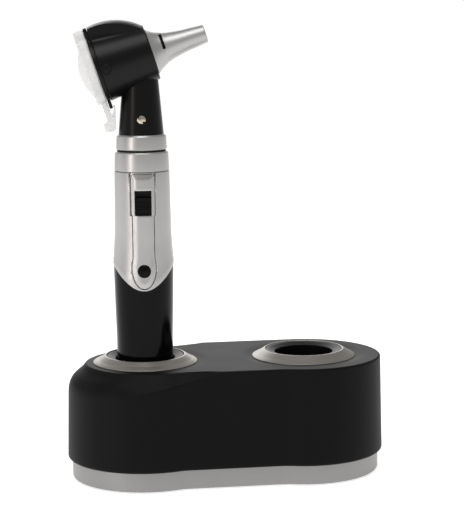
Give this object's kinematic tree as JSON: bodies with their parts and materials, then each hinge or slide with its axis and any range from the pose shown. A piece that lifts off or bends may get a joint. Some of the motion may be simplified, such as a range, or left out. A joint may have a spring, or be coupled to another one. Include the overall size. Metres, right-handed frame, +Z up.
{
  "type": "otoscope in desk charger",
  "caption": "Rechargeable otoscope with tilted head, swing-aside lens and thumb switch, standing in a two-well desk charger.",
  "frame": {"origin": "on the standing surface, under the middle of the charger, midway between its wells", "axes": "+Z up, +X from the otoscope's well to the empty well, +Y to the back of the charger"},
  "size_m": [0.1596, 0.0792, 0.228],
  "materials": {
    "shell_black": "fine matte moulded texture",
    "trim_silver": "satin silver paint",
    "plate_steel": "plain rolled steel",
    "foot_rubber": "matt rubber",
    "screw_steel": "bright steel",
    "bezel_silver": "satin beige-silver paint",
    "liner_gloss": "glossy black",
    "moulding_black": "plain moulding",
    "board_green": "solder mask",
    "component_dark": "moulded components",
    "contact_brass": "plated contact",
    "spring_steel": "spring wire",
    "tube_gloss": "glossy black",
    "sleeve_silver": "satin metallic",
    "strip_silver": "satin metallic",
    "inlay_black": "glossy black",
    "slider_black": "ribbed black",
    "cell_wrap": "wrapped cell",
    "washer_black": "black washer",
    "collar_silver": "satin metallic",
    "neck_black": "semi-gloss black",
    "screw_nickel": "warm nickel",
    "head_black": "satin black",
    "flange_black": "satin black",
    "clear_acrylic": "clear acrylic",
    "lens_glass": "polished lens",
    "nose_silver": "satin metallic",
    "fibre_clear": "light fibre",
    "lamp_glass": "lamp glass"
  },
  "bodies": {
    "charger_base": {"base_shell": "shell_black", "trim_band": "trim_silver", "base_plate": "plate_steel", "rubber_feet": "foot_rubber", "base_screws": "screw_steel", "well_ring_left": "bezel_silver", "well_ring_right": "bezel_silver", "well_liner_left": "liner_gloss", "well_liner_right": "liner_gloss", "pin_carrier_left": "moulding_black", "pin_carrier_right": "moulding_black", "charger_board": "board_green", "board_components": "component_dark", "power_inlet": "moulding_black", "pin_spring_left_centre": "spring_steel", "pin_spring_left_ring": "spring_steel", "pin_spring_right_centre": "spring_steel", "pin_spring_right_ring": "spring_steel"},
    "handle": {"battery_tube": "tube_gloss", "grip_sleeve": "sleeve_silver", "switch_strip": "strip_silver", "strip_inlay": "inlay_black", "control_board": "board_green", "switch_chassis": "moulding_black", "lead_rod": "contact_brass", "contact_disc": "contact_brass", "battery_cell": "cell_wrap", "battery_spring": "spring_steel", "tail_cap": "moulding_black", "tail_contact_ring": "contact_brass", "tail_contact_centre": "contact_brass", "cap_ring": "sleeve_silver", "joint_washer": "washer_black", "bayonet_stud": "screw_steel", "contact_sleeve": "moulding_black"},
    "thumb_switch": {"switch_slider": "slider_black", "switch_wiper": "contact_brass"},
    "head": {"head_collar": "collar_silver", "head_neck": "neck_black", "neck_screw": "screw_nickel", "head_body": "head_black", "port_bush": "head_black", "rear_flange": "flange_black", "lens_pivot": "screw_steel", "fibre_ring": "fibre_clear", "inner_cone": "moulding_black", "light_guide": "fibre_clear", "lamp_contact": "contact_brass", "lamp_base": "screw_nickel", "lamp_bulb": "lamp_glass"},
    "rear_window": {"lens_carrier": "clear_acrylic", "magnifying_lens": "lens_glass"},
    "nose": {"nose_cone": "nose_silver"},
    "pin_left_centre": {"charge_pin_left_centre": "contact_brass"},
    "pin_left_ring": {"charge_pin_left_ring": "contact_brass"},
    "pin_right_centre": {"charge_pin_right_centre": "contact_brass"},
    "pin_right_ring": {"charge_pin_right_ring": "contact_brass"}
  },
  "joints": [
    {"name": "otoscope_lift", "type": "slide", "parent": "charger_base", "child": "handle", "axis": [0, 0, 1], "range_m": [0, 0.055]},
    {"name": "switch_slide", "type": "slide", "parent": "handle", "child": "thumb_switch", "axis": [0, 0, 1], "range_m": [-0.0025, 0.0025]},
    {"name": "head_twist", "type": "hinge", "parent": "handle", "child": "head", "pos_m": [-0.04025, 0, 0.1648], "axis": [0, 0, 1], "range_deg": [0, 40]},
    {"name": "lens_swing", "type": "hinge", "parent": "head", "child": "rear_window", "pos_m": [-0.06693, 0.00187, 0.22022], "axis": [0.9487, -0.0663, 0.309], "range_deg": [0, 100]},
    {"name": "nose_twist", "type": "hinge", "parent": "head", "child": "nose", "pos_m": [-0.03427, -0.00042, 0.21235], "axis": [0.9487, -0.0663, 0.309], "range_deg": [0, 30]},
    {"name": "pin_left_centre_press", "type": "slide", "parent": "charger_base", "child": "pin_left_centre", "axis": [0, 0, 1], "range_m": [-0.0012, 0], "stiffness_N_per_m": 300, "springref_m": 0.001, "deforming": ["pin_spring_left_centre"]},
    {"name": "pin_left_ring_press", "type": "slide", "parent": "charger_base", "child": "pin_left_ring", "axis": [0, 0, 1], "range_m": [-0.0012, 0], "stiffness_N_per_m": 300, "springref_m": 0.001, "deforming": ["pin_spring_left_ring"]},
    {"name": "pin_right_centre_press", "type": "slide", "parent": "charger_base", "child": "pin_right_centre", "axis": [0, 0, 1], "range_m": [-0.0012, 0], "stiffness_N_per_m": 300, "springref_m": 0.001, "deforming": ["pin_spring_right_centre"]},
    {"name": "pin_right_ring_press", "type": "slide", "parent": "charger_base", "child": "pin_right_ring", "axis": [0, 0, 1], "range_m": [-0.0012, 0], "stiffness_N_per_m": 300, "springref_m": 0.001, "deforming": ["pin_spring_right_ring"]}
  ]
}
